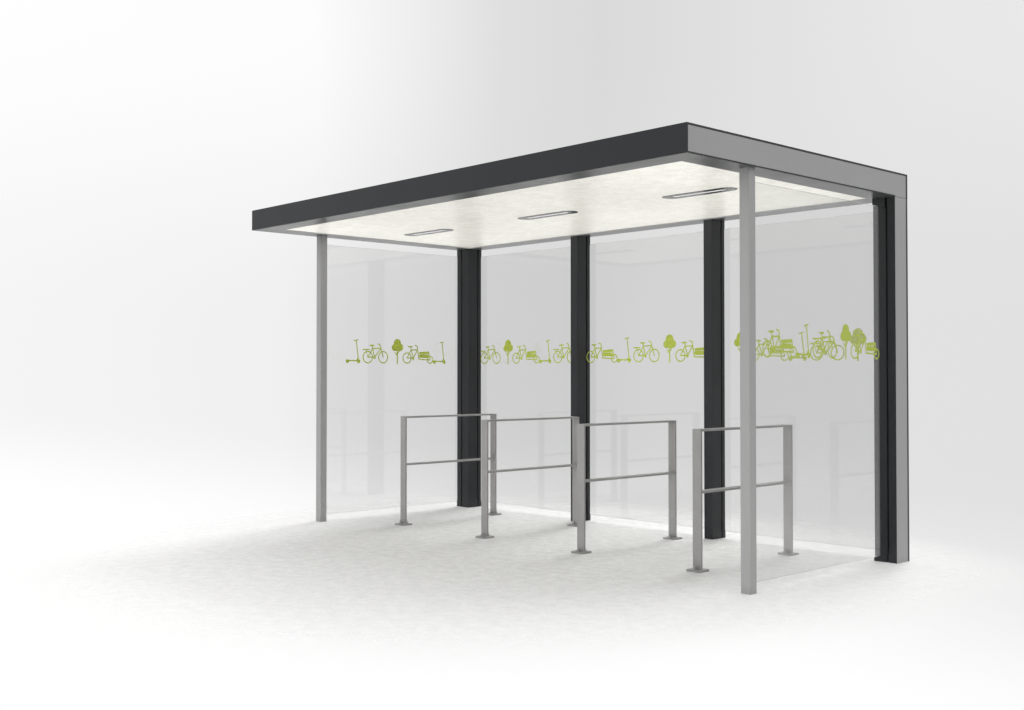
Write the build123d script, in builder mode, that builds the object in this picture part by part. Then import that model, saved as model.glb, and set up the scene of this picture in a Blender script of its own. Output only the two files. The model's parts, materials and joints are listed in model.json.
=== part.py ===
"""Bicycle shelter with an open front, a flat parapet roof and four leaning racks.

Millimetres, +X along the length, +Y towards the back wall, +Z up.
The origin is on the ground in the middle of the roof's outline.
Each piece is one named solid, or a set of like solids, in its own STEP file.
"""
from build123d import *
import os

os.makedirs("parts", exist_ok=True)

# Overall size of the roof and the height under it.
length = 4000.0
depth = 2100.0
clear_height = 2160.0
roof_height = 145.0

# Roof edge: dark fascias under a coping that ends in a lip.
fascia_t = 8.0
cap_width = 50.0
cap_t = 5.0
cap_lip = 18.0
fold_radius = 2.0

# Pale panels let into the two ends, with the dark edge that is left round them.
panel_t = 3.0
panel_seam = 2.0
end_trim_top = 12.0
end_trim_bottom = 7.0
end_trim_rear = 20.0

# Perimeter beams that form the grey border under the roof.
border = 160.0
beam_height = 60.0

# Ceiling, deck and growing bed on the deck.
ceiling_recess = 7.0
ceiling_t = 10.0
deck_t = 6.0
bed_thickness = 45.0

# Columns along the back, with grooves that hold the glass.
column_depth = 145.0
corner_width = 150.0
middle_width = 70.0
column_radius = 2.0
groove_width = 16.0
groove_depth = 20.0
rear_groove_from_front = 106.0

# Square posts at the front, each with a groove for the end glass.
post_width = 60.0
post_radius = 6.0
post_setback = 535.0
post_inset = 30.0
post_groove_depth = 15.0

# Glass sheets stand clear of the ground and of the roof.
glass_t = 10.0
glass_bottom_gap = 50.0
glass_top_gap = 62.0
glass_arris = 1.0

# Recessed lamps, one over the middle of each bay.
lamp_length = 520.0
lamp_width = 120.0
lamp_rim_t = 3.0
lamp_rim_chamfer = 1.5
lamp_body_margin = 12.0
lamp_body_height = 45.0
slot_length = 384.0
slot_width = 38.0
slot_depth = 6.0
diffuser_t = 4.0

# Racks: a frame of flat bar, a cross bar and two drilled floor plates each.
rack_count = 4
rack_pitch = 905.0
rack_length = 905.0
rack_height = 800.0
rack_back_gap = 157.0
bar_width = 60.0
bar_t = 12.0
bar_corner_radius = 3.0
cross_bar_z = 445.0
plate_width = 100.0
plate_t = 10.0
plate_corner_radius = 16.0
anchor_hole = 11.0
anchor_spacing = 58.0

# Levels and planes that follow from the sizes above.
half_l = length / 2
half_d = depth / 2
top_z = clear_height + roof_height
web_half_l = half_l - fascia_t
web_half_d = half_d - fascia_t
fascia_height = roof_height - cap_t
panel_x = half_l - panel_t
column_front = half_d - column_depth
column_y = column_front + column_depth / 2
ceiling_z = clear_height + ceiling_recess
ceiling_depth = depth - border - column_depth
ceiling_y = (border - column_depth) / 2
rim_z = ceiling_z - lamp_rim_t
deck_z = clear_height + beam_height
bed_z = deck_z + deck_t
post_y = -half_d + post_setback + post_width / 2
post_x = half_l - post_inset - post_width / 2
groove_y = column_front + rear_groove_from_front
bay_width = (length - 2 * corner_width - 2 * middle_width) / 3
middle_x = bay_width / 2 + middle_width / 2
bay_x = bay_width + middle_width
glass_height = clear_height - glass_bottom_gap - glass_top_gap


def save(piece, name):
    piece.part.label = name
    export_step(piece.part, "parts/" + name + ".step")


def end_panel_outline():
    """Pale panel on a roof end, which steps down to the underside over the column."""
    return Polyline(
        (-web_half_d, clear_height + end_trim_bottom),
        (-web_half_d, top_z - end_trim_top),
        (half_d - end_trim_rear, top_z - end_trim_top),
        (half_d - end_trim_rear, clear_height),
        (column_front, clear_height),
        (column_front, clear_height + end_trim_bottom),
        close=True,
    )


# Front and rear fascias, cut to a 45 degree mitre at both ends.
for name, side in (("front_fascia", -1), ("rear_fascia", 1)):
    with BuildPart() as fascia:
        with BuildSketch(Plane.XY.offset(clear_height)):
            with BuildLine():
                Polyline(
                    (-half_l, side * half_d),
                    (half_l, side * half_d),
                    (web_half_l, side * web_half_d),
                    (-web_half_l, side * web_half_d),
                    close=True,
                )
            make_face()
        extrude(amount=fascia_height)
        outer_foot = fascia.edges().group_by(Axis.Z)[0].sort_by(SortBy.LENGTH)[-1]
        fillet(outer_foot, fold_radius)
    save(fascia, name)

# End fascias, mitred to match, with a shallow pocket for the pale panel.
for name, side in (("end_fascia_left", -1), ("end_fascia_right", 1)):
    with BuildPart() as end_fascia:
        with BuildSketch(Plane.XY.offset(clear_height)):
            with BuildLine():
                Polyline(
                    (side * half_l, -half_d),
                    (side * half_l, half_d),
                    (side * web_half_l, web_half_d),
                    (side * web_half_l, -web_half_d),
                    close=True,
                )
            make_face()
        extrude(amount=fascia_height)
        outer_foot = end_fascia.edges().group_by(Axis.Z)[0].sort_by(SortBy.LENGTH)[-1]
        fillet(outer_foot, fold_radius)
        with BuildSketch(Plane.YZ.offset(side * panel_x)):
            with BuildLine():
                end_panel_outline()
            make_face()
        extrude(amount=side * panel_t, mode=Mode.SUBTRACT)
    save(end_fascia, name)

# Coping: one frame of folded sheet over the fascias, with a lip turned down inside.
with BuildPart() as coping:
    with BuildSketch(Plane.XY.offset(top_z - cap_t)):
        Rectangle(length, depth)
        Rectangle(length - 2 * cap_width, depth - 2 * cap_width, mode=Mode.SUBTRACT)
    extrude(amount=cap_t)
    with BuildSketch(Plane.XY.offset(top_z - cap_lip)):
        Rectangle(length - 2 * (cap_width - cap_t), depth - 2 * (cap_width - cap_t))
        Rectangle(length - 2 * cap_width, depth - 2 * cap_width, mode=Mode.SUBTRACT)
    extrude(amount=cap_lip - cap_t)
    fillet(coping.edges().group_by(Axis.Z)[-1], fold_radius)
save(coping, "roof_coping")

# Pale end panels that fill the pockets.
for name, side in (("roof_panel_left", -1), ("roof_panel_right", 1)):
    with BuildPart() as roof_panel:
        with BuildSketch(Plane.YZ.offset(side * panel_x)):
            with BuildLine():
                end_panel_outline()
            make_face()
        extrude(amount=side * panel_t)
    save(roof_panel, name)

# Perimeter beams. Front and rear run the whole length, the end ones fit between them.
for name, y_low, y_high in (
    ("edge_beam_front", -web_half_d, -half_d + border),
    ("edge_beam_rear", column_front, web_half_d),
):
    with BuildPart() as long_beam:
        with BuildSketch(Plane.XY.offset(clear_height)):
            with Locations((0, (y_low + y_high) / 2)):
                Rectangle(2 * web_half_l, y_high - y_low)
        extrude(amount=beam_height)
    save(long_beam, name)

for name, side in (("edge_beam_left", -1), ("edge_beam_right", 1)):
    with BuildPart() as short_beam:
        with BuildSketch(Plane.XY.offset(clear_height)):
            with Locations((side * (web_half_l + half_l - border) / 2, ceiling_y)):
                Rectangle(border - fascia_t, ceiling_depth)
        extrude(amount=beam_height)
    save(short_beam, name)

# Steel deck on the beams and the growing bed that lies in the tray.
with BuildPart() as roof_deck:
    with BuildSketch(Plane.XY.offset(deck_z)):
        Rectangle(2 * web_half_l, 2 * web_half_d)
    extrude(amount=deck_t)
save(roof_deck, "roof_deck")

with BuildPart() as roof_bed:
    with BuildSketch(Plane.XY.offset(bed_z)):
        Rectangle(2 * web_half_l, 2 * web_half_d)
    extrude(amount=bed_thickness)
save(roof_bed, "roof_bed")

# Ceiling board between the beams, cut for the lamp bodies.
with BuildPart() as ceiling:
    with BuildSketch(Plane.XY.offset(ceiling_z)):
        with Locations((0, ceiling_y)):
            Rectangle(length - 2 * border, ceiling_depth)
        with Locations((-bay_x, 0), (0, 0), (bay_x, 0)):
            SlotOverall(
                lamp_length - 2 * lamp_body_margin,
                lamp_width - 2 * lamp_body_margin,
                mode=Mode.SUBTRACT,
            )
    extrude(amount=ceiling_t)
save(ceiling, "ceiling_panel")

# Lamps: a rim under the ceiling, a body above it and a light slot with its diffuser.
for number, lamp_x in enumerate((-bay_x, 0, bay_x), start=1):
    with BuildPart() as lamp:
        with BuildSketch(Plane.XY.offset(rim_z)):
            with Locations((lamp_x, 0)):
                SlotOverall(lamp_length, lamp_width)
        extrude(amount=lamp_rim_t)
        chamfer(lamp.edges().group_by(Axis.Z)[0], lamp_rim_chamfer)
        with BuildSketch(Plane.XY.offset(ceiling_z)):
            with Locations((lamp_x, 0)):
                SlotOverall(lamp_length - 2 * lamp_body_margin, lamp_width - 2 * lamp_body_margin)
        extrude(amount=lamp_body_height)
        with BuildSketch(Plane.XY.offset(rim_z)):
            with Locations((lamp_x, 0)):
                SlotOverall(slot_length, slot_width)
        extrude(amount=slot_depth, mode=Mode.SUBTRACT)
    save(lamp, "lamp_housing_" + str(number))

    with BuildPart() as diffuser:
        with BuildSketch(Plane.XY.offset(rim_z + slot_depth - diffuser_t)):
            with Locations((lamp_x, 0)):
                SlotOverall(slot_length, slot_width)
        extrude(amount=diffuser_t)
    save(diffuser, "lamp_diffuser_" + str(number))

# Front posts: square section with soft corners and a groove in the rear face.
for name, side in (("front_post_left", -1), ("front_post_right", 1)):
    with BuildPart() as post:
        with BuildSketch(Plane.XY):
            with Locations((side * post_x, post_y)):
                RectangleRounded(post_width, post_width, post_radius)
            with Locations((side * post_x, post_y + (post_width - post_groove_depth) / 2)):
                Rectangle(groove_width, post_groove_depth, mode=Mode.SUBTRACT)
        extrude(amount=clear_height)
    save(post, name)

# Corner columns: one groove faces the front post, one faces the back bays.
for name, side in (("corner_column_left", -1), ("corner_column_right", 1)):
    with BuildPart() as corner:
        with BuildSketch(Plane.XY):
            with Locations((side * (half_l - corner_width / 2), column_y)):
                RectangleRounded(corner_width, column_depth, column_radius)
            with Locations((side * (half_l - panel_t / 2), column_y - end_trim_rear / 2)):
                Rectangle(panel_t, column_depth - end_trim_rear, mode=Mode.SUBTRACT)
            with Locations((side * post_x, column_front + groove_depth / 2)):
                Rectangle(groove_width, groove_depth, mode=Mode.SUBTRACT)
            with Locations((side * (half_l - corner_width + groove_depth / 2), groove_y)):
                Rectangle(groove_depth, groove_width, mode=Mode.SUBTRACT)
        extrude(amount=clear_height)
    save(corner, name)

# Middle columns: a groove on both sides for the back glass.
for name, side in (("middle_column_left", -1), ("middle_column_right", 1)):
    with BuildPart() as middle:
        with BuildSketch(Plane.XY):
            with Locations((side * middle_x, column_y)):
                RectangleRounded(middle_width, column_depth, column_radius)
            with Locations(
                (side * middle_x - (middle_width - groove_depth) / 2, groove_y),
                (side * middle_x + (middle_width - groove_depth) / 2, groove_y),
            ):
                Rectangle(groove_depth, groove_width, mode=Mode.SUBTRACT)
        extrude(amount=clear_height)
    save(middle, name)

# Pale panels on the outer faces of the corner columns.
for name, side in (("leg_panel_left", -1), ("leg_panel_right", 1)):
    with BuildPart() as leg_panel:
        with BuildSketch(Plane.XY):
            with Locations((side * (half_l - panel_t / 2), column_y - end_trim_rear / 2)):
                Rectangle(panel_t, column_depth - end_trim_rear)
        extrude(amount=clear_height - panel_seam)
    save(leg_panel, name)

# Back glass with ground edges, one sheet a bay, from groove to groove.
for name, glass_x in (("rear_glass_left", -bay_x), ("rear_glass_centre", 0), ("rear_glass_right", bay_x)):
    with BuildPart() as rear_glass:
        with BuildSketch(Plane.XY.offset(glass_bottom_gap)):
            with Locations((glass_x, groove_y)):
                Rectangle(bay_width + 2 * groove_depth, glass_t)
        extrude(amount=glass_height)
        chamfer(rear_glass.edges(), glass_arris)
    save(rear_glass, name)

# End glass, from the front post to the corner column.
end_glass_front = post_y + post_width / 2 - post_groove_depth
end_glass_rear = column_front + groove_depth
for name, side in (("end_glass_left", -1), ("end_glass_right", 1)):
    with BuildPart() as end_glass:
        with BuildSketch(Plane.XY.offset(glass_bottom_gap)):
            with Locations((side * post_x, (end_glass_front + end_glass_rear) / 2)):
                Rectangle(glass_t, end_glass_rear - end_glass_front)
        extrude(amount=glass_height)
        chamfer(end_glass.edges(), glass_arris)
    save(end_glass, name)

# Racks, each a flat bar frame that stands on two plates, with a cross bar at half height.
rack_y1 = column_front - rack_back_gap
rack_y0 = rack_y1 - rack_length
for index in range(rack_count):
    rack_x = (index - (rack_count - 1) / 2) * rack_pitch
    prefix = "rack_" + str(index + 1)

    with BuildPart() as rack_frame:
        with BuildSketch(Plane.YZ.offset(rack_x - bar_width / 2)):
            with BuildLine():
                Polyline(
                    (rack_y0, plate_t),
                    (rack_y0, rack_height),
                    (rack_y1, rack_height),
                    (rack_y1, plate_t),
                    (rack_y1 - bar_t, plate_t),
                    (rack_y1 - bar_t, rack_height - bar_t),
                    (rack_y0 + bar_t, rack_height - bar_t),
                    (rack_y0 + bar_t, plate_t),
                    close=True,
                )
            make_face()
        extrude(amount=bar_width)
        top_corners = rack_frame.edges().filter_by(Axis.X).group_by(Axis.Z)[-1]
        fillet(top_corners, bar_corner_radius)
    save(rack_frame, prefix + "_frame")

    with BuildPart() as cross_bar:
        with BuildSketch(Plane.XY.offset(cross_bar_z - bar_t / 2)):
            with Locations((rack_x, (rack_y0 + rack_y1) / 2)):
                Rectangle(bar_width, rack_length - 2 * bar_t)
        extrude(amount=bar_t)
    save(cross_bar, prefix + "_cross_bar")

    with BuildPart() as plates:
        for plate_y in (rack_y0 + bar_t / 2, rack_y1 - bar_t / 2):
            with BuildSketch(Plane.XY):
                with Locations((rack_x, plate_y)):
                    RectangleRounded(plate_width, plate_width, plate_corner_radius)
                with Locations(
                    (rack_x, plate_y - anchor_spacing / 2),
                    (rack_x, plate_y + anchor_spacing / 2),
                ):
                    Circle(anchor_hole / 2, mode=Mode.SUBTRACT)
            extrude(amount=plate_t)
    save(plates, prefix + "_floor_plates")
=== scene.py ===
"""Looks of the bicycle shelter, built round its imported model. Metres, +Z up."""
import json
import math
import random

import bmesh
import bpy
from mathutils import Matrix, Vector


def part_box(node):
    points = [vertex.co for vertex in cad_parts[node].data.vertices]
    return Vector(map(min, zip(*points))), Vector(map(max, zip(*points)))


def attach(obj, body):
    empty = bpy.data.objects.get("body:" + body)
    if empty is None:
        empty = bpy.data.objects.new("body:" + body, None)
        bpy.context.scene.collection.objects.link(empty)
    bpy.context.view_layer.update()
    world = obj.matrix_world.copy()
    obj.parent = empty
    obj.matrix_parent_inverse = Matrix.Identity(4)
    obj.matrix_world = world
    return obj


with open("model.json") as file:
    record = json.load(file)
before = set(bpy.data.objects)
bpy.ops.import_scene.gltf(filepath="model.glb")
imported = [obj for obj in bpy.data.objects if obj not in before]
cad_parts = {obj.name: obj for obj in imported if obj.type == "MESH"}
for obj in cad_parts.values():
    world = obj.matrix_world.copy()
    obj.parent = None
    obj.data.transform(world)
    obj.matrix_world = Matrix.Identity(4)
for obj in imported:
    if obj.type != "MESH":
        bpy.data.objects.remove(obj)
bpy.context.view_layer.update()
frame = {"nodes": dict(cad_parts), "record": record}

nodes = frame["nodes"]
record = frame["record"]

# Camera, found by fitting the photographed corners of the roof, columns and lamps. In degrees,
# the turn counts from +Y towards -X and the pitch counts upwards.
IMAGE_WIDTH = 1024
SENSOR_MM = 36.0
FOCAL_PIXELS = 1139.8
CAMERA_PLACE = (5.368, -5.313, 1.109)
CAMERA_TURN = 47.07
CAMERA_PITCH = 0.984

# Colours as linear values.
DARK_COAT = (0.0175, 0.0188, 0.0212)
PALE_COAT = (0.335, 0.335, 0.335)
BORDER_COAT = (0.045, 0.048, 0.046)
POST_COAT = (0.345, 0.345, 0.343)
GALVANISED = (0.45, 0.46, 0.46)
CEILING_BOARD = (0.89, 0.873, 0.80)
LAMP_RIM = (0.038, 0.038, 0.04)
DIFFUSER = (0.9, 0.9, 0.89)
GLASS_TINT = (0.866, 0.868, 0.867)
GLASS_SHADE = (0.72, 0.725, 0.725)
RACK_STEEL = (0.305, 0.300, 0.296)
BED_DARK = (0.12, 0.075, 0.055)
BED_LIGHT = (0.36, 0.24, 0.17)
LIME_FILM = (0.43, 0.51, 0.065)
# The film's glued side is a lighter copy of the lime: painted light, standing in for light shining
# through the film from behind.
LIME_BACKLIT = (0.86, 0.88, 0.30)
GROUND_EDGE = (0.93, 0.95, 0.94)
RUBBER = (0.011, 0.011, 0.012)
ZINC = (0.47, 0.47, 0.46)
FLOOR = (0.75, 0.748, 0.738)
WHITE = (1.0, 1.0, 1.0)

# Light from all sides, then the suns: strength, width of the disc, azimuth from +X and elevation
# in degrees, and whether the disc is mirrored in gloss.
WORLD_LIGHT = 0.53
SUNS = (
    ("back_light", 1.35, 16, 109, 50, True),
    ("top_light", 1.2, 60, 98, 78, True),
    ("front_fill", 0.9, 50, -92, 17, False),
    ("side_fill", 0.5, 50, 5, 35, True),
)

# Lamps close above the floor that shine up: power, size, place, then the tilt from straight up
# towards +Y and the spread, in degrees.
LAMP_HEIGHT = 0.03
UPLIGHTS = (
    ("front_lamp", 20.0, (5.0, 2.5), (0.3, -2.4), 25, 150),
    ("ceiling_lamp", 40.5, (7.2, 3.3), (0.2, 0.4), 0, 80),
    ("end_lamp_left", 1.8, (0.34, 1.9), (-1.74, -0.05), 0, 45),
    ("end_lamp_right", 1.8, (0.34, 1.9), (1.74, -0.05), 0, 45),
    ("rear_lamp", 4.0, (3.6, 0.4), (0.0, 0.7), 0, 45),
)

# The floor fades out between these distances from its middle. Sideways they are scaled by the
# stretch, and behind the shelter the rear range, in Y, takes their place.
FLOOR_RADIUS = 12.0
FLOOR_CORNERS = 96
FLOOR_MIDDLE = -0.13
FLOOR_STRETCH = 0.884
FLOOR_FADE = (1.46, 3.70)
FLOOR_REAR_FADE = (1.3, 2.4)

# Brightness of the backdrop against azimuth, 0 to 1 over the spread about the middle: a row at
# the horizon and a higher one, with the elevations between which one turns into the other.
BACKDROP_MIDDLE = 137.0
BACKDROP_SPREAD = (-27.0, 28.0)
BACKDROP_RISE = (2.0, 17.0)
BACKDROP_HIGH = (
    (0.0, 0.82), (0.14, 0.80), (0.295, 0.745), (0.41, 0.70),
    (0.5, 0.738), (0.58, 0.855), (0.67, 0.975), (1.0, 1.0),
)
BACKDROP_LOW = (
    (0.0, 0.75), (0.2, 0.755), (0.36, 0.75), (0.44, 0.71),
    (0.53, 0.73), (0.62, 0.80), (0.70, 0.87), (1.0, 0.925),
)
# Between these angles from the middle it turns into one brightness for the other views.
BACKDROP_SIDES = (32.0, 100.0)
BACKDROP_AWAY = 0.68
# Below the horizon it turns white. Where that starts and over how many degrees, first at both
# ends of the spread and then for the other views.
WHITE_STARTS = (-4.6, -1.0)
WHITE_WIDTHS = (13.0, 3.5)
WHITE_START_AWAY = -1.2
WHITE_WIDTH_AWAY = 5.0

# Rounded edges of the coated metal.
SOFT_EDGED = ("dark_coat", "pale_coat", "border_coat", "rack_steel", "post_coat")
EDGE_SOFTNESS = 0.0008
EDGE_SEGMENTS = 2
EDGE_ANGLE = 40
CORNER_JOIN = 0.00001

# Anchors and weld beads of the racks. The nut narrows to these shares at its foot and crown, and
# the stud at its tip.
RACK_COUNT = 4
WASHER_RADIUS = 0.010
WASHER_THICKNESS = 0.002
WASHER_CORNERS = 28
NUT_ACROSS_FLATS = 0.017
NUT_CORNERS = 6
NUT_HEIGHT = 0.009
NUT_CHAMFER = 0.0008
NUT_FOOT = 0.93
NUT_CROWN = 0.9
STUD_RADIUS = 0.005
STUD_TIP = 0.8
STUD_CORNERS = 20
STUD_ABOVE_NUT = 0.016
THREAD_DEPTH = 0.0004
THREAD_PITCH = 0.0016
BEAD_RADIUS = 0.003
BEAD_STEP = 0.0018
BEAD_SIDES = 8
RIPPLE_HEIGHT = 0.16
RIPPLE_TURN = 1.9

# Glass: how far the ends of a sheet stand in their grooves, in order along its axis.
PANES = (
    "rear_glass_left", "rear_glass_centre", "rear_glass_right", "end_glass_left", "end_glass_right"
)
GROOVE_REACH = {"rear": (0.020, 0.020), "end": (0.015, 0.020)}
# The rubber strip starts deep in the groove and ends just short of its mouth, with a hollow along
# the middle of its end.
GASKET_THICKNESS = 0.003
GASKET_START = 0.008
GASKET_HOLLOW = 0.003
GASKET_END = 0.0012
# The setting block's half width is a share of the sheet's thickness.
BLOCK_LENGTH = 0.0128
BLOCK_HALF_WIDTH = 0.7
# The ground band wraps the edge of a sheet, and ends short of the columns by the last value.
BAND_WIDTH = 0.0015
BAND_THICKNESS = 0.0001
BAND_GAP = 0.00003
BAND_SHY = 0.13

# Film on the glass, drawn in lines and discs and then scaled up. Each flat shape of a motif lies
# one step prouder than the one before it.
FILM_THICKNESS = 0.00025
FILM_STAND_OFF = 0.00005
FILM_STEP = 0.00003
FILM_BASE_HEIGHT = 1.197
FILM_SCALE = 1.2
FILM_PITCH = 0.215
FILM_MARGINS = 0.08
FILM_LINE = 0.0075
DISC_CORNERS = 28
RING_CORNERS = 36
BAR_END_STEPS = 6
QUARTER = math.pi / 2

# Edge strip of the ceiling.
TRIM_WIDTH = 0.006
TRIM_EDGE = 0.001
TRIM_GAP = 0.0001

# Loose grains on the growing bed. Sizes are factors of the radius. Width and height, how far the
# corners are knocked about and how high a grain lies are shares of a grain's own size.
GRAIN_COUNT = 7000
GRAIN_SEED = 7
GRAIN_RADIUS = 0.0075
GRAIN_SIZES = (0.5, 1.3)
GRAIN_WIDTHS = (0.6, 0.9)
GRAIN_HEIGHTS = (0.5, 0.8)
GRAIN_KNOCK = 0.16
GRAIN_RISE = 0.15
GRAIN_MARGIN = 0.056


# Building blocks for node materials.

def start_material(name, colour, roughness, metallic=0.0):
    """A new material, with its node tree and its shader."""
    material = bpy.data.materials.new(name)
    material.use_nodes = True
    shader = material.node_tree.nodes["Principled BSDF"]
    shader.inputs["Base Color"].default_value = (*colour, 1)
    shader.inputs["Roughness"].default_value = roughness
    shader.inputs["Metallic"].default_value = metallic
    return material, material.node_tree, shader


def place_of(tree, stretch=(1, 1, 1)):
    """Object coordinates in metres, stretched along the axes where asked."""
    coordinates = tree.nodes.new("ShaderNodeTexCoord")
    mapping = tree.nodes.new("ShaderNodeMapping")
    mapping.inputs["Scale"].default_value = stretch
    tree.links.new(coordinates.outputs["Object"], mapping.inputs["Vector"])
    return mapping.outputs["Vector"]


def noise_of(tree, place, scale, detail=3.0, roughness=0.55, distortion=0.0):
    """A cloudy value, mostly from 0.3 to 0.7."""
    texture = tree.nodes.new("ShaderNodeTexNoise")
    texture.inputs["Scale"].default_value = scale
    texture.inputs["Detail"].default_value = detail
    texture.inputs["Roughness"].default_value = roughness
    texture.inputs["Distortion"].default_value = distortion
    tree.links.new(place, texture.inputs["Vector"])
    return texture.outputs["Fac"]


def cells_of(tree, place, scale):
    """A pattern of irregular cells."""
    cells = tree.nodes.new("ShaderNodeTexVoronoi")
    cells.inputs["Scale"].default_value = scale
    tree.links.new(place, cells.inputs["Vector"])
    return cells


def spread_of(tree, value, low, high, start=0.3, end=0.7):
    """Maps the range from start to end, by default the middle of a noise, to low to high."""
    spread = tree.nodes.new("ShaderNodeMapRange")
    for name, number in (
        ("From Min", start), ("From Max", end), ("To Min", low), ("To Max", high)
    ):
        spread.inputs[name].default_value = number
    tree.links.new(value, spread.inputs["Value"])
    return spread.outputs["Result"]


def step_of(tree, value, start, end):
    """Rises smoothly from 0 at start to 1 at end."""
    result = spread_of(tree, value, 0.0, 1.0, start, end)
    result.node.interpolation_type = "SMOOTHSTEP"
    return result


def maths_of(tree, operation, first, second=0.0):
    """One operation on values that are numbers or sockets."""
    maths = tree.nodes.new("ShaderNodeMath")
    maths.operation = operation
    for socket, source in zip(maths.inputs, (first, second)):
        if isinstance(source, (int, float)):
            socket.default_value = source
        else:
            tree.links.new(source, socket)
    return maths.outputs["Value"]


def mix_of(tree, factor, first, second):
    """From the first colour at 0 to the second at 1. Each is a tuple or a socket."""
    mix = tree.nodes.new("ShaderNodeMix")
    mix.data_type = "RGBA"
    tree.links.new(factor, mix.inputs["Factor"])
    for socket, source in ((mix.inputs["A"], first), (mix.inputs["B"], second)):
        if isinstance(source, tuple):
            socket.default_value = (*source, 1)
        else:
            tree.links.new(source, socket)
    return mix.outputs["Result"]


def clear_of(tree, colour=WHITE):
    """A surface that light goes straight through, tinted by the colour."""
    clear = tree.nodes.new("ShaderNodeBsdfTransparent")
    clear.inputs["Color"].default_value = (*colour, 1)
    return clear.outputs["BSDF"]


def join_surfaces(tree, factor, first, second, target):
    """Sends the first surface at 0 and the second at 1 to the target node."""
    mix = tree.nodes.new("ShaderNodeMixShader")
    for source, socket in ((factor, "Fac"), (first, 1), (second, 2)):
        tree.links.new(source, mix.inputs[socket])
    tree.links.new(mix.outputs["Shader"], tree.nodes[target].inputs["Surface"])


def scaled(colour, factor):
    """The colour, darker or lighter, kept below white."""
    return tuple(min(1.0, part * factor) for part in colour)


def tint(tree, shader, shade, colour, darkest, lightest):
    """Colours a surface by shade, from darkest at 0 to lightest at 1, as factors of the colour."""
    colours = mix_of(tree, shade, scaled(colour, darkest), scaled(colour, lightest))
    tree.links.new(colours, shader.inputs["Base Color"])


def roughen(tree, shader, value, low, high, start=0.3, end=0.7):
    """Lets the roughness vary from low to high."""
    gloss = spread_of(tree, value, low, high, start, end)
    tree.links.new(gloss, shader.inputs["Roughness"])


def bump_on(tree, shader, height, depth):
    """Relief of this depth in metres."""
    bump = tree.nodes.new("ShaderNodeBump")
    bump.inputs["Distance"].default_value = depth
    tree.links.new(height, bump.inputs["Height"])
    tree.links.new(bump.outputs["Normal"], shader.inputs["Normal"])


# Materials.

def powder_coat(name, colour, roughness, specular=0.5, cloud=0.03, grain=0.03):
    """Baked powder paint: a fine pebbled skin, a little uneven in colour and gloss."""
    material, tree, shader = start_material(name, colour, roughness)
    shader.inputs["Specular IOR Level"].default_value = specular
    place = place_of(tree)
    broad = noise_of(tree, place, scale=1.6, detail=4.0)
    fine = noise_of(tree, place, scale=240.0, detail=2.0)
    clouds = spread_of(tree, broad, low=0.5 - cloud, high=0.5 + cloud)
    pebbles = spread_of(tree, fine, low=-grain, high=grain)
    tint(tree, shader, maths_of(tree, "ADD", clouds, pebbles), colour, 0.5, 1.5)
    polish = noise_of(tree, place, scale=3.0, detail=5.0)
    roughen(tree, shader, polish, low=roughness - 0.04, high=roughness + 0.05)
    bump_on(tree, shader, noise_of(tree, place, scale=650.0, detail=2.0), depth=0.00007)
    return material


def ceiling_finish():
    """Pale composite board with a mottled, half-glossy face."""
    material, tree, shader = start_material("ceiling_board", CEILING_BOARD, 0.3)
    place = place_of(tree)
    mottle = noise_of(tree, place, scale=15.0, detail=8.0, roughness=0.7, distortion=0.5)
    clouds = spread_of(tree, mottle, low=0.1, high=0.9, start=0.35, end=0.65)
    specks = noise_of(tree, place, scale=90.0, detail=5.0, roughness=0.75)
    flecks = spread_of(tree, specks, low=-0.6, high=0.6)
    tint(tree, shader, maths_of(tree, "ADD", clouds, flecks), CEILING_BOARD, 0.83, 1.07)
    polish = noise_of(tree, place, scale=5.0, detail=6.0, roughness=0.6)
    roughen(tree, shader, polish, low=0.29, high=0.42)
    relief = noise_of(tree, place, scale=45.0, detail=5.0, roughness=0.65)
    bump_on(tree, shader, relief, depth=0.0009)
    return material


def glass_finish():
    """Toughened float glass with a faint roller wave. Lamps shine straight through it."""
    material, tree, shader = start_material("glazing", GLASS_TINT, 0.0)
    shader.inputs["IOR"].default_value = 1.5
    shader.inputs["Transmission Weight"].default_value = 1.0
    wave = noise_of(tree, place_of(tree, stretch=(1, 1, 0.25)), scale=2.2, detail=1.0)
    bump_on(tree, shader, wave, depth=0.00008)
    shadow = tree.nodes.new("ShaderNodeLightPath").outputs["Is Shadow Ray"]
    clear = clear_of(tree, GLASS_SHADE)
    join_surfaces(tree, shadow, shader.outputs["BSDF"], clear, "Material Output")
    return material


def rack_finish():
    """Flat bar with a dull lacquer over faint rolling marks."""
    material, tree, shader = start_material("rack_steel", RACK_STEEL, 0.45)
    across = place_of(tree, stretch=(140, 6, 6))
    marks = noise_of(tree, across, scale=1.0, detail=4.0, roughness=0.6)
    broad = noise_of(tree, place_of(tree), scale=7.0, detail=4.0)
    clouds = spread_of(tree, broad, low=0.44, high=0.56)
    lines = spread_of(tree, marks, low=-0.03, high=0.03)
    tint(tree, shader, maths_of(tree, "ADD", clouds, lines), RACK_STEEL, 0.5, 1.5)
    roughen(tree, shader, broad, low=0.4, high=0.52)
    relief = noise_of(tree, place_of(tree), scale=420.0, detail=2.0)
    bump_on(tree, shader, relief, depth=0.00005)
    return material


def zinc_finish(name, colour, roughness):
    """Zinc coating with the crystal flakes of dipped or plated steel."""
    material, tree, shader = start_material(name, colour, roughness, metallic=0.9)
    flakes = cells_of(tree, place_of(tree), scale=90.0).outputs["Distance"]
    tint(tree, shader, flakes, colour, 0.85, 1.15)
    roughen(tree, shader, flakes, roughness - 0.08, roughness + 0.08, start=0.0, end=0.8)
    return material


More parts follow.
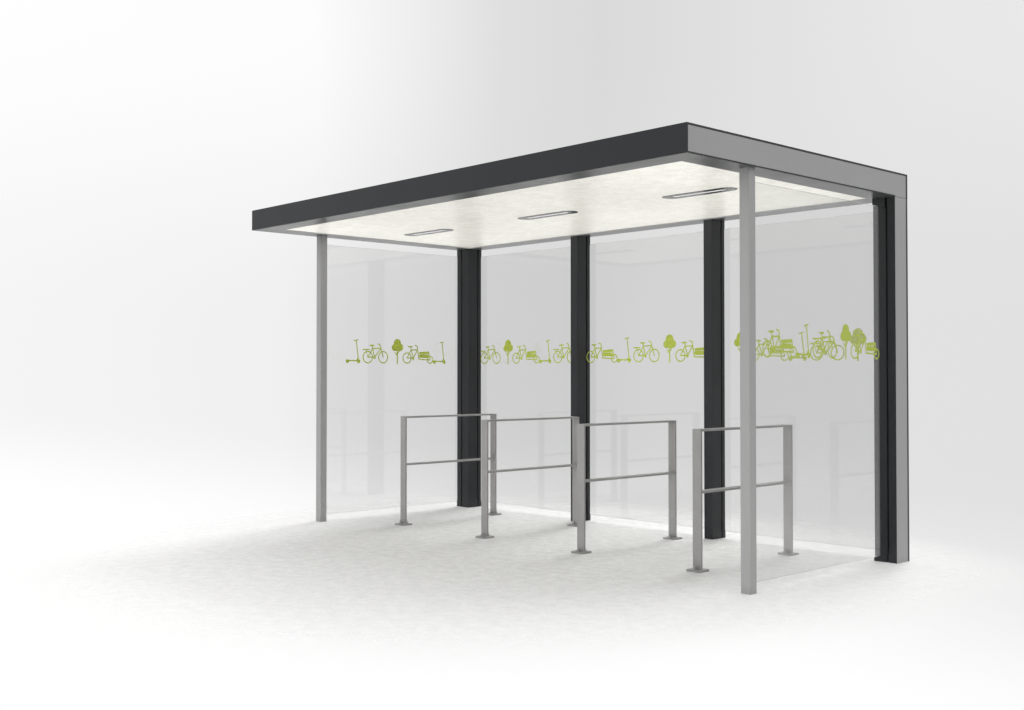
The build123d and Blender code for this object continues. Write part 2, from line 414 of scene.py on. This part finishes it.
def diffuser_finish():
    """Opal strip with fine ribs across its length."""
    material, tree, shader = start_material("diffuser", DIFFUSER, 0.4)
    ribs = tree.nodes.new("ShaderNodeTexWave")
    ribs.inputs["Scale"].default_value = 80.0
    tree.links.new(place_of(tree), ribs.inputs["Vector"])
    # Painted shade and highlight: the colour follows the ribs' relief, darker in the troughs and
    # lighter on the crests.
    tint(tree, shader, ribs.outputs["Fac"], DIFFUSER, 0.96, 1.02)
    bump_on(tree, shader, ribs.outputs["Fac"], depth=0.0004)
    return material


def bed_finish():
    """Crushed brick and lava: red-brown grains of uneven size and tone."""
    material, tree, shader = start_material("growing_bed", BED_LIGHT, 0.95)
    place = place_of(tree)
    stones = cells_of(tree, place, scale=75.0)
    tone = tree.nodes.new("ShaderNodeSeparateColor")
    tree.links.new(stones.outputs["Color"], tone.inputs["Color"])
    damp = spread_of(tree, noise_of(tree, place, scale=2.5, detail=5.0), low=-0.25, high=0.25)
    shade = maths_of(tree, "ADD", tone.outputs["Red"], damp)
    tree.links.new(mix_of(tree, shade, BED_DARK, BED_LIGHT), shader.inputs["Base Color"])
    rough = noise_of(tree, place, scale=160.0, detail=5.0, roughness=0.7)
    lumps = maths_of(tree, "SUBTRACT", rough, stones.outputs["Distance"])
    bump_on(tree, shader, lumps, depth=0.004)
    return material


def speckled_finish(name, colour, roughness, darkest, lightest, scale, detail, metallic=0.0):
    """Any other coat or sheet, slightly uneven in colour."""
    material, tree, shader = start_material(name, colour, roughness, metallic)
    speckle = noise_of(tree, place_of(tree), scale, detail)
    tint(tree, shader, speckle, colour, darkest, lightest)
    return material, tree, shader


def lamp_finish():
    """Half-glossy paint with a fine orange-peel skin."""
    material, tree, shader = speckled_finish(
        "lamp_rim", LAMP_RIM, 0.22, darkest=0.9, lightest=1.1, scale=25.0, detail=4.0
    )
    shader.inputs["Specular IOR Level"].default_value = 0.7
    peel = noise_of(tree, place_of(tree), scale=700.0, detail=2.0)
    bump_on(tree, shader, peel, depth=0.00005)
    return material


def film_finish(name, colour):
    """Vinyl film, slightly uneven in the print."""
    return speckled_finish(
        name, colour, 0.45, darkest=0.9, lightest=1.1, scale=180.0, detail=3.0
    )[0]


def ground_edge_finish():
    """The bright silky band that grinding and polishing leave along the edge of a sheet."""
    return speckled_finish(
        "ground_edge", GROUND_EDGE, 0.25, darkest=0.96, lightest=1.04, scale=300.0, detail=3.0,
        metallic=1.0,
    )[0]


def rubber_finish():
    """Black rubber with some dust."""
    return speckled_finish(
        "gasket_rubber", RUBBER, 0.7, darkest=0.7, lightest=1.6, scale=120.0, detail=4.0
    )[0]


def floor_finish():
    """Pale, faintly speckled, fading into the background far out."""
    material, tree, shader = start_material("floor", FLOOR, 0.75)
    place = place_of(tree)
    speckle = noise_of(tree, place, scale=85.0, detail=4.0, roughness=0.75)
    cloud = noise_of(tree, place, scale=14.0, detail=6.0, roughness=0.7)
    specks = spread_of(tree, speckle, low=0.0, high=1.0)
    clouds = spread_of(tree, cloud, low=-0.4, high=0.4)
    tint(tree, shader, maths_of(tree, "ADD", specks, clouds), FLOOR, 0.84, 1.13)
    parts = tree.nodes.new("ShaderNodeSeparateXYZ")
    tree.links.new(place, parts.inputs["Vector"])
    across = maths_of(tree, "DIVIDE", parts.outputs["X"], FLOOR_STRETCH)
    front = maths_of(tree, "SUBTRACT", FLOOR_MIDDLE, parts.outputs["Y"])
    rear = spread_of(tree, parts.outputs["Y"], *FLOOR_FADE, *FLOOR_REAR_FADE)
    rear.node.clamp = False
    squares = maths_of(
        tree, "ADD",
        maths_of(tree, "POWER", across, 2.0),
        maths_of(tree, "POWER", maths_of(tree, "MAXIMUM", front, rear), 2.0),
    )
    fade = step_of(tree, maths_of(tree, "SQRT", squares), *FLOOR_FADE)
    join_surfaces(tree, fade, shader.outputs["BSDF"], clear_of(tree), "Material Output")
    return material


def soften_edges(piece):
    """Joins the split corners of an imported mesh and rounds its edges a little."""
    weld = piece.modifiers.new("join_corners", "WELD")
    weld.merge_threshold = CORNER_JOIN
    bevel = piece.modifiers.new("soft_edges", "BEVEL")
    bevel.width = EDGE_SOFTNESS
    bevel.segments = EDGE_SEGMENTS
    bevel.limit_method = "ANGLE"
    bevel.angle_limit = math.radians(EDGE_ANGLE)
    bevel.harden_normals = True


# Building blocks for meshes.

def make_mesh(name, build):
    """A mesh from a function that fills an empty shape."""
    mesh = bpy.data.meshes.new(name)
    shape = bmesh.new()
    build(shape)
    bmesh.ops.recalc_face_normals(shape, faces=shape.faces)
    shape.to_mesh(mesh)
    shape.free()
    return mesh


def add_object(name, data):
    """An object in the scene."""
    added = bpy.data.objects.new(name, data)
    bpy.context.scene.collection.objects.link(added)
    return added


def add_piece(name, build, material):
    """A piece of the shelter with the given material, attached to the root body."""
    mesh = make_mesh(name, build)
    mesh.materials.append(material)
    piece = add_object(name, mesh)
    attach(piece, "root")
    return piece


def add_sides(shape, rings, closed=False):
    """Faces from each ring of vertices to the next, and from the last to the first if closed."""
    pairs = list(zip(rings, rings[1:]))
    if closed:
        pairs.append((rings[-1], rings[0]))
    for lower, upper in pairs:
        for index, vertex in enumerate(lower):
            following = (index + 1) % len(lower)
            shape.faces.new((vertex, lower[following], upper[following], upper[index]))


def add_stack(shape, rings):
    """A closed form through rings of vertices, with a face over the first and the last."""
    shape.faces.new(rings[0][::-1])
    shape.faces.new(rings[-1])
    add_sides(shape, rings)


def add_prism(shape, outline, place, rise):
    """A closed prism. Outline has 2-D points, place maps them to space and rise is its length."""
    low = [shape.verts.new(place(point)) for point in outline]
    high = [shape.verts.new(vertex.co + rise) for vertex in low]
    add_stack(shape, (low, high))


def circle_points(radius, count, centre=(0.0, 0.0)):
    """Points round a circle."""
    step = 2 * math.pi / count
    return [
        (centre[0] + radius * math.cos(step * index), centre[1] + radius * math.sin(step * index))
        for index in range(count)
    ]


def rectangle_points(low_x, high_x, low_y, high_y):
    """Corners of a rectangle, in order round it."""
    return ((low_x, low_y), (high_x, low_y), (high_x, high_y), (low_x, high_y))


# Anchors through the floor plates: washer, hexagon nut and stud end.

def add_turned(shape, foot, count, profile):
    """A closed upright form with count corners. Profile has (radius, height above the foot)."""
    add_stack(shape, [
        [shape.verts.new(foot + Vector((*point, height))) for point in circle_points(radius, count)]
        for radius, height in profile
    ])


def add_anchor(shape, foot):
    """One anchor, with its washer on the foot point."""
    washer = ((WASHER_RADIUS, 0.0), (WASHER_RADIUS, WASHER_THICKNESS))
    add_turned(shape, foot, WASHER_CORNERS, washer)
    base = foot + Vector((0, 0, WASHER_THICKNESS))
    corner = NUT_ACROSS_FLATS / math.sqrt(3)
    add_turned(shape, base, NUT_CORNERS, (
        (corner * NUT_FOOT, 0.0),
        (corner, NUT_CHAMFER),
        (corner, NUT_HEIGHT - NUT_CHAMFER),
        (corner * NUT_CROWN, NUT_HEIGHT),
    ))
    thread = []
    for index in range(int(STUD_ABOVE_NUT / THREAD_PITCH)):
        height = NUT_HEIGHT + index * THREAD_PITCH
        thread.append((STUD_RADIUS - THREAD_DEPTH, height))
        thread.append((STUD_RADIUS, height + THREAD_PITCH / 2))
    thread.append((STUD_RADIUS * STUD_TIP, NUT_HEIGHT + STUD_ABOVE_NUT))
    add_turned(shape, base, STUD_CORNERS, thread)


def anchors_of(prefix):
    """The anchors of one rack, where the record has its bolt patterns."""
    def build(shape):
        for mount in record["mounts"]:
            if mount["kind"] == "bolt_pattern" and mount["name"].startswith(prefix):
                centre = Vector(mount["pos_m"])
                reach = Vector((0, mount["dims"]["spacing_y_mm"] / 2000, 0))
                add_anchor(shape, centre + reach)
                add_anchor(shape, centre - reach)
    return build


# Weld beads: a rippled cord laid round the end of a bar.

def add_bead(shape, corners, normal):
    """A closed bead along the straight lines between the corners, rippled along its way."""
    path = []
    for corner, following in zip(corners, corners[1:] + corners[:1]):
        steps = max(2, round((following - corner).length / BEAD_STEP))
        path += [corner.lerp(following, step / steps) for step in range(steps)]
    centre = sum(corners, Vector()) / len(corners)
    rings = []
    for index, point in enumerate(path):
        outward = (point - centre).normalized()
        radius = BEAD_RADIUS * (1 + RIPPLE_HEIGHT * math.sin(index * RIPPLE_TURN))
        rings.append([
            shape.verts.new(point + outward * along + normal * up)
            for along, up in circle_points(radius, BEAD_SIDES)
        ])
    add_sides(shape, rings, closed=True)


def welds_of(rack):
    """Beads round both feet of a rack's frame and round both ends of its cross bar."""
    def build(shape):
        frame_low, frame_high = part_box(rack + "_frame")
        bar_low, bar_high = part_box(rack + "_cross_bar")
        thickness = bar_high.z - bar_low.z
        for y in (frame_low.y, frame_high.y - thickness):
            foot = rectangle_points(frame_low.x, frame_high.x, y, y + thickness)
            add_bead(shape, [Vector((*point, frame_low.z)) for point in foot], Vector((0, 0, 1)))
        for y in (bar_low.y, bar_high.y):
            end = rectangle_points(bar_low.x, bar_high.x, bar_low.z, bar_high.z)
            add_bead(shape, [Vector((x, y, z)) for x, z in end], Vector((0, 1, 0)))
    return build


# Glass edges: rubber strips on both faces of each sheet, a setting block under each lower corner,
# and a ground band along the upper and the lower edge.

def pane_frame(name):
    """Lowest and highest corner of a sheet, then its thin and its long axis: 0 for X, 1 for Y."""
    low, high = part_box(name)
    thin = 0 if high.x - low.x < high.y - low.y else 1
    return low, high, thin, 1 - thin


def gaskets_of(name):
    """Strips in the mouths of the grooves, on both faces at both ends of a sheet."""
    low, high, thin, along = pane_frame(name)

    def add_strip(shape, face, sign, edge, inward, reach):
        """Face is the glass face, edge the sheet's edge, reach the depth in its groove."""
        mouth = edge + inward * reach
        section = (
            (0.0, mouth - inward * GASKET_START),
            (0.0, mouth - inward * GASKET_END),
            (GASKET_THICKNESS / 2, mouth - inward * GASKET_HOLLOW),
            (GASKET_THICKNESS, mouth - inward * GASKET_END),
            (GASKET_THICKNESS, mouth - inward * GASKET_START),
        )

        def place(point):
            spot = Vector((0, 0, low.z))
            spot[thin] = face + sign * point[0]
            spot[along] = point[1]
            return spot
        add_prism(shape, section, place, Vector((0, 0, high.z - low.z)))

    def build(shape):
        ends = ((low[along], 1), (high[along], -1))
        for (edge, inward), reach in zip(ends, GROOVE_REACH[name.split("_")[0]]):
            add_strip(shape, low[thin], -1, edge, inward, reach)
            add_strip(shape, high[thin], 1, edge, inward, reach)
    return build


def blocks_of(name):
    """Blocks from the ground up to both lower corners of a sheet."""
    low, high, thin, along = pane_frame(name)
    middle = (low[thin] + high[thin]) / 2
    half = (high[thin] - low[thin]) * BLOCK_HALF_WIDTH

    def place(point):
        spot = Vector((0, 0, 0))
        spot[thin], spot[along] = point
        return spot

    def build(shape):
        for edge, inward in ((low[along], 1), (high[along], -1)):
            end = edge + inward * BLOCK_LENGTH
            corners = rectangle_points(middle - half, middle + half, edge, end)
            add_prism(shape, corners, place, Vector((0, 0, low.z)))
    return build


def ground_edges_of(name):
    """The ground bands of a sheet, each with a rim on its face towards -Y or +X."""
    low, high, thin, along = pane_frame(name)
    middle = (low[thin] + high[thin]) / 2
    side = 1 if thin == 0 else -1
    inner = side * ((high[thin] - low[thin]) / 2 + BAND_GAP)
    outer = inner + side * BAND_THICKNESS

    def build(shape):
        kind = name.split("_")[0]
        reaches = GROOVE_REACH[kind]
        start = low[along] + reaches[0] + (BAND_SHY if kind == "rear" else 0.0)
        end = high[along] - reaches[1] - BAND_SHY

        def place(point):
            spot = Vector((0, 0, point[1]))
            spot[thin], spot[along] = middle + point[0], start
            return spot

        length = Vector((0, 0, 0))
        length[along] = end - start
        for edge, inward in ((low.z, 1), (high.z, -1)):
            near = edge - inward * BAND_GAP
            far = near - inward * BAND_THICKNESS
            rim = edge + inward * BAND_WIDTH
            section = (
                (-outer, far), (outer, far), (outer, rim),
                (inner, rim), (inner, near), (-outer, near),
            )
            add_prism(shape, section, place, length)
    return build


# Film on the glass: a row of plain pictograms. Each is a set of flat shapes in metres, in X and Y.

def ring(x, y, radius):
    """A circle line."""
    return "ring", x, y, radius


def disc(x, y, radius):
    """A full circle."""
    return "disc", x, y, radius


def bar(x1, y1, x2, y2, width=FILM_LINE):
    """A straight line with round ends."""
    return "bar", x1, y1, x2, y2, width


def bicycle():
    """Diamond frame with a carrier."""
    rear, front, wheel = -0.062, 0.062, 0.041
    return (
        ring(rear, wheel, wheel),
        ring(front, wheel, wheel),
        disc(-0.008, wheel - 0.002, 0.010),
        bar(rear, wheel, -0.008, wheel),
        bar(rear, wheel, -0.022, 0.098),
        bar(-0.008, wheel, -0.028, 0.116),
        bar(-0.008, wheel, 0.042, 0.095),
        bar(-0.022, 0.098, 0.041, 0.100),
        bar(front, wheel, 0.036, 0.122),
        bar(-0.044, 0.118, -0.012, 0.118, 0.009),
        bar(0.036, 0.122, 0.020, 0.128),
        bar(-0.1, 0.090, -0.05, 0.090),
        bar(rear, wheel, -0.078, 0.090, 0.004),
    )


def load_bicycle():
    """Long frame with a box in front and a small front wheel."""
    rear, front, wheel, small = -0.098, 0.100, 0.038, 0.027
    return (
        ring(rear, wheel, wheel),
        ring(front, small, small),
        disc(-0.046, wheel - 0.004, 0.009),
        bar(rear, wheel, -0.046, wheel),
        bar(rear, wheel, -0.064, 0.092),
        bar(-0.046, wheel, -0.068, 0.112),
        bar(-0.046, wheel, -0.008, 0.094),
        bar(-0.064, 0.092, -0.008, 0.094),
        bar(-0.012, 0.118, 0.004, 0.030),
        bar(0.004, 0.030, front, 0.026),
        bar(-0.086, 0.114, -0.054, 0.114, 0.009),
        bar(-0.012, 0.118, -0.030, 0.124),
        bar(0.016, 0.052, 0.076, 0.052, 0.024),
        bar(0.012, 0.072, 0.086, 0.076, 0.016),
        bar(front, small, 0.088, 0.072),
    )


def scooter():
    """Kick scooter with a tall post."""
    wheel = 0.013
    return (
        disc(-0.042, wheel, wheel),
        disc(0.045, wheel, wheel),
        bar(-0.042, 0.017, 0.028, 0.017, 0.009),
        bar(0.028, 0.017, 0.040, 0.034),
        bar(0.044, 0.016, 0.026, 0.148),
        bar(0.010, 0.146, 0.040, 0.152, 0.007),
    )


def round_tree():
    """Trunk, two boughs and a crown of four discs."""
    return (
        bar(0.0, 0.0, 0.0, 0.10, 0.009),
        bar(0.0, 0.062, 0.020, 0.088),
        bar(0.0, 0.050, -0.018, 0.074),
        disc(0.0, 0.134, 0.030),
        disc(-0.024, 0.106, 0.023),
        disc(0.025, 0.108, 0.024),
        disc(0.0, 0.108, 0.026),
    )


def flat_outlines(flat):
    """Outlines of one flat shape: the first is its rim, a second is a hole in it."""
    kind, *values = flat
    if kind == "disc":
        x, y, radius = values
        return [circle_points(radius, DISC_CORNERS, (x, y))]
    if kind == "ring":
        x, y, radius = values
        return [circle_points(size, RING_CORNERS, (x, y)) for size in (radius, radius - FILM_LINE)]
    x1, y1, x2, y2, width = values
    turn = math.atan2(y2 - y1, x2 - x1)
    angles = [turn - QUARTER + math.pi * step / BAR_END_STEPS for step in range(BAR_END_STEPS + 1)]
    round_end = [(width / 2 * math.cos(angle), width / 2 * math.sin(angle)) for angle in angles]
    far = [(x2 + across, y2 + up) for across, up in round_end]
    near = [(x1 - across, y1 - up) for across, up in round_end]
    return [far + near]


def add_flat(shape, outlines, stand_off):
    """A closed film of one flat shape in the XZ plane, which stands off the sheet towards -Y.

    Its printed side has the first material; its glued side has the second, painted lighter as if
    lit through.
    """
    forward = Vector((0, -FILM_THICKNESS, 0))
    backs, fronts = [], []
    for outline in outlines:
        backs.append([shape.verts.new((x, -stand_off, y)) for x, y in outline])
        fronts.append([shape.verts.new(vertex.co + forward) for vertex in backs[-1]])
        add_sides(shape, (backs[-1], fronts[-1]))
    for loops, material_index in ((backs, 1), (fronts, 0)):
        if len(loops) == 1:
            faces = [shape.faces.new(loops[0])]
        else:
            rim, hole = loops
            faces = []
            for index, vertex in enumerate(rim):
                following = (index + 1) % len(rim)
                corners = (vertex, rim[following], hole[following], hole[index])
                faces.append(shape.faces.new(corners))
        for face in faces:
            face.material_index = material_index


def film_mesh(motif):
    """Lays a motif's shapes over each other as closed films, each a little prouder."""
    def build(shape):
        for index, flat in enumerate(motif()):
            outlines = [
                [(x * FILM_SCALE, y * FILM_SCALE) for x, y in outline]
                for outline in flat_outlines(flat)
            ]
            add_flat(shape, outlines, FILM_STAND_OFF + index * FILM_STEP)
    return make_mesh("film_" + motif.__name__, build)


def films_of(name, face, first, facing):
    """One row of motifs on a face of a sheet, from motif number first on, each turned about Z."""
    low, high, thin, along = pane_frame(name)
    reaches = GROOVE_REACH["rear"]

    def build(shape):
        start, end = low[along] + reaches[0], high[along] - reaches[1]
        count = int((end - start - FILM_MARGINS) / FILM_PITCH)
        first_place = (start + end - (count - 1) * FILM_PITCH) / 2
        for index in range(count):
            spot = Vector((0, 0, FILM_BASE_HEIGHT))
            spot[thin] = face
            spot[along] = first_place + index * FILM_PITCH
            motif = motifs[(first + index) % len(motifs)].copy()
            motif.transform(Matrix.Translation(spot) @ Matrix.Rotation(facing, 4, "Z"))
            shape.from_mesh(motif)
            bpy.data.meshes.remove(motif)
    return build


# Edge strip that covers the step from the ceiling board down to the beams.

def ceiling_trim(shape):
    """A frame of one section all round the ceiling board, mitred at the corners."""
    board_low, board_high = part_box("ceiling_panel")
    top = board_low.z - TRIM_GAP
    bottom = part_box("edge_beam_front")[0].z + TRIM_GAP
    section = (
        (TRIM_GAP, top),
        (TRIM_WIDTH, top),
        (TRIM_WIDTH, board_low.z - TRIM_EDGE),
        (TRIM_EDGE, bottom),
        (TRIM_GAP, bottom),
    )
    corners = rectangle_points(board_low.x, board_high.x, board_low.y, board_high.y)
    inwards = rectangle_points(1, -1, 1, -1)
    add_sides(shape, [
        [shape.verts.new((x + turn_x * inward, y + turn_y * inward, z)) for inward, z in section]
        for (x, y), (turn_x, turn_y) in zip(corners, inwards)
    ], closed=True)


# Loose grains on the growing bed.

def stone_pattern():
    """Corners and faces of a plain stone of radius 1."""
    pattern = bmesh.new()
    bmesh.ops.create_icosphere(pattern, subdivisions=1, radius=1.0)
    corners = [vertex.co.copy() for vertex in pattern.verts]
    faces = [[vertex.index for vertex in face.verts] for face in pattern.faces]
    pattern.free()
    return corners, faces


def rough_grain(chance, pattern):
    """Size of one grain, and its corners round the origin: turned, flattened and knocked about."""
    radius = GRAIN_RADIUS * chance.uniform(*GRAIN_SIZES)
    axis = Vector((chance.random(), chance.random(), 1)).normalized()
    turn = Matrix.Rotation(chance.uniform(0, math.tau), 3, axis)
    squash = Matrix.Diagonal((1.0, chance.uniform(*GRAIN_WIDTHS), chance.uniform(*GRAIN_HEIGHTS)))
    shaping = turn @ squash * radius
    corners = []
    for corner in pattern:
        knock = Vector([chance.uniform(-GRAIN_KNOCK, GRAIN_KNOCK) for _ in range(3)])
        corners.append(shaping @ (corner + knock))
    return radius, corners


def grains(shape):
    """Grains strewn evenly over the bed, inside the coping."""
    bed_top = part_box("roof_bed")[1].z
    low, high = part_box("roof_coping")
    stone, stone_faces = stone_pattern()
    chance = random.Random(GRAIN_SEED)
    corners, faces = [], []
    for _ in range(GRAIN_COUNT):
        x = chance.uniform(low.x + GRAIN_MARGIN, high.x - GRAIN_MARGIN)
        y = chance.uniform(low.y + GRAIN_MARGIN, high.y - GRAIN_MARGIN)
        radius, grain = rough_grain(chance, stone)
        spot = Vector((x, y, bed_top + radius * GRAIN_RISE))
        faces += [[len(corners) + index for index in face] for face in stone_faces]
        corners += [spot + corner for corner in grain]
    loose = bpy.data.meshes.new("loose_grains")
    loose.from_pydata(corners, [], faces)
    shape.from_mesh(loose)
    bpy.data.meshes.remove(loose)


# Floor, backdrop, lights and camera.

def add_floor():
    """A wide round floor."""
    mesh = bpy.data.meshes.new("floor")
    shape = bmesh.new()
    bmesh.ops.create_circle(shape, cap_ends=True, segments=FLOOR_CORNERS, radius=FLOOR_RADIUS)
    shape.to_mesh(mesh)
    shape.free()
    mesh.materials.append(floor_finish())
    floor = add_object("floor", mesh)


def ramp_of(tree, value, stops):
    """Greys between stops of (position, brightness)."""
    ramp = tree.nodes.new("ShaderNodeValToRGB")
    for position, _ in stops[1:-1]:
        ramp.color_ramp.elements.new(position)
    for element, (position, level) in zip(ramp.color_ramp.elements, stops):
        element.position = position
        element.color = (level, level, level, 1)
    tree.links.new(value, ramp.inputs["Fac"])
    return ramp.outputs["Color"]


def radians_of(angles):
    """Angles in degrees as radians."""
    return [math.radians(angle) for angle in angles]


def backdrop_of(tree):
    """Colour of the backdrop by direction: two rows of greys, white below the horizon."""
    coordinates = tree.nodes.new("ShaderNodeTexCoord")
    turn = tree.nodes.new("ShaderNodeMapping")
    turn.inputs["Rotation"].default_value = (0, 0, math.radians(-BACKDROP_MIDDLE))
    tree.links.new(coordinates.outputs["Generated"], turn.inputs["Vector"])
    parts = tree.nodes.new("ShaderNodeSeparateXYZ")
    tree.links.new(turn.outputs["Vector"], parts.inputs["Vector"])
    azimuth = maths_of(tree, "ARCTAN2", parts.outputs["Y"], parts.outputs["X"])
    elevation = maths_of(tree, "ARCSINE", parts.outputs["Z"])
    turned = spread_of(tree, azimuth, 0.0, 1.0, *radians_of(BACKDROP_SPREAD))
    away = step_of(tree, maths_of(tree, "ABSOLUTE", azimuth), *radians_of(BACKDROP_SIDES))
    raised = step_of(tree, elevation, *radians_of(BACKDROP_RISE))

    def towards_away(angles, angle_away):
        """An angle that goes from the first to the last over the spread, then to the one away."""
        near = spread_of(tree, turned, *radians_of(angles), start=0.0, end=1.0)
        result = spread_of(tree, away, 0.0, math.radians(angle_away), start=0.0, end=1.0)
        tree.links.new(near, result.node.inputs["To Min"])
        return result

    rows = mix_of(
        tree, raised, ramp_of(tree, turned, BACKDROP_LOW), ramp_of(tree, turned, BACKDROP_HIGH)
    )
    above = mix_of(tree, away, rows, (BACKDROP_AWAY,) * 3)
    below = maths_of(tree, "SUBTRACT", towards_away(WHITE_STARTS, WHITE_START_AWAY), elevation)
    portion = maths_of(tree, "DIVIDE", below, towards_away(WHITE_WIDTHS, WHITE_WIDTH_AWAY))
    return mix_of(tree, step_of(tree, portion, 0.0, 1.0), above, WHITE)


def add_world():
    """Even light for the object, and the backdrop where it is seen, mirrored or behind glass."""
    world = bpy.data.worlds.new("studio")
    world.use_nodes = True
    tree = world.node_tree
    light = tree.nodes["Background"]
    light.inputs["Color"].default_value = (*WHITE, 1)
    light.inputs["Strength"].default_value = WORLD_LIGHT
    seen = tree.nodes.new("ShaderNodeBackground")
    tree.links.new(backdrop_of(tree), seen.inputs["Color"])
    path = tree.nodes.new("ShaderNodeLightPath").outputs
    direct = maths_of(tree, "MAXIMUM", path["Is Camera Ray"], path["Is Transmission Ray"])
    sharp = maths_of(tree, "MAXIMUM", direct, path["Is Glossy Ray"])
    before_diffuse = maths_of(tree, "LESS_THAN", path["Diffuse Depth"], 0.5)
    shown = maths_of(tree, "MULTIPLY", sharp, before_diffuse)
    surfaces = light.outputs["Background"], seen.outputs["Background"]
    join_surfaces(tree, shown, *surfaces, "World Output")
    bpy.context.scene.world = world


def add_sun(name, strength, spread, azimuth, elevation, mirrored):
    """A broad sun. Its disc isn't seen through glass, and is mirrored only if asked."""
    lamp = bpy.data.lights.new(name, "SUN")
    lamp.energy = strength
    lamp.angle = math.radians(spread)
    holder = add_object(name, lamp)
    across, height = math.radians(azimuth), math.radians(elevation)
    towards = Vector((
        math.cos(across) * math.cos(height), math.sin(across) * math.cos(height), math.sin(height)
    ))
    holder.rotation_euler = towards.to_track_quat("Z", "Y").to_euler()
    holder.visible_glossy = mirrored
    holder.visible_transmission = False


def add_uplight(name, power, size, place, tilt, spread):
    """A wide lamp near the floor. It isn't seen or mirrored itself."""
    lamp = bpy.data.lights.new(name, "AREA")
    lamp.shape = "RECTANGLE"
    lamp.size, lamp.size_y = size
    lamp.spread = math.radians(spread)
    lamp.energy = power
    holder = add_object(name, lamp)
    holder.location = (*place, LAMP_HEIGHT)
    holder.rotation_euler = (math.radians(180 - tilt), 0, 0)
    holder.visible_camera = False
    holder.visible_glossy = False
    holder.visible_transmission = False


def add_camera():
    """The camera at the photograph's viewing angle."""
    view = bpy.data.cameras.new("camera")
    view.sensor_width = SENSOR_MM
    view.lens = FOCAL_PIXELS * SENSOR_MM / IMAGE_WIDTH
    holder = add_object("camera", view)
    holder.location = CAMERA_PLACE
    holder.rotation_euler = (math.radians(90 + CAMERA_PITCH), 0, math.radians(CAMERA_TURN))
    bpy.context.scene.camera = holder


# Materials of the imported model.

finishes = {
    "dark_coat": powder_coat("dark_coat", DARK_COAT, roughness=0.42, specular=0.4, grain=0.015),
    "pale_coat": powder_coat("pale_coat", PALE_COAT, roughness=0.5),
    "border_coat": powder_coat("border_coat", BORDER_COAT, roughness=0.3, specular=0.35),
    "post_coat": powder_coat("post_coat", POST_COAT, roughness=0.45),
    "galvanised_steel": zinc_finish("galvanised_steel", GALVANISED, roughness=0.5),
    "ceiling_board": ceiling_finish(),
    "lamp_rim": lamp_finish(),
    "diffuser": diffuser_finish(),
    "glazing": glass_finish(),
    "rack_steel": rack_finish(),
    "growing_bed": bed_finish(),
}
for subpart in record["subparts"]:
    for material_slot in nodes[subpart["node"]].material_slots:
        material_slot.material = finishes[subpart["material_slot"]]

# Small pieces.

film_material = film_finish("lime_film", LIME_FILM)
# The glued side's lighter colour is painted light, standing in for light shining through the film.
film_back_material = film_finish("film_back_painted_backlight", LIME_BACKLIT)
rubber_material = rubber_finish()
edge_material = ground_edge_finish()
zinc_material = zinc_finish("anchor_zinc", ZINC, roughness=0.35)

for number in range(1, RACK_COUNT + 1):
    rack = "rack_" + str(number)
    add_piece(rack + "_anchors", anchors_of(rack + "_"), zinc_material)
    add_piece(rack + "_welds", welds_of(rack), finishes["rack_steel"])

for name in PANES:
    add_piece(name + "_gaskets", gaskets_of(name), rubber_material)
    add_piece(name + "_blocks", blocks_of(name), rubber_material)
    add_piece(name + "_ground_edges", ground_edges_of(name), edge_material)

motifs = [film_mesh(motif) for motif in (bicycle, round_tree, load_bicycle, scooter)]
for name, face, first, facing in (
    ("rear_glass_left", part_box("rear_glass_left")[0].y, 0, 0.0),
    ("rear_glass_centre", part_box("rear_glass_centre")[0].y, 2, 0.0),
    ("rear_glass_right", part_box("rear_glass_right")[0].y, 1, 0.0),
    ("end_glass_left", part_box("end_glass_left")[1].x, 3, QUARTER),
    ("end_glass_right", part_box("end_glass_right")[1].x, 2, QUARTER),
):
    film = add_piece(name + "_film", films_of(name, face, first, facing), film_material)
    film.data.materials.append(film_back_material)

add_piece("ceiling_trim", ceiling_trim, finishes["pale_coat"])
add_piece("bed_grains", grains, finishes["growing_bed"])

for subpart in record["subparts"]:
    if subpart["material_slot"] in SOFT_EDGED:
        soften_edges(nodes[subpart["node"]])

# Studio.

add_floor()
add_world()
for sun in SUNS:
    add_sun(*sun)
for uplight in UPLIGHTS:
    add_uplight(*uplight)
add_camera()
bpy.context.scene.view_settings.view_transform = "Standard"
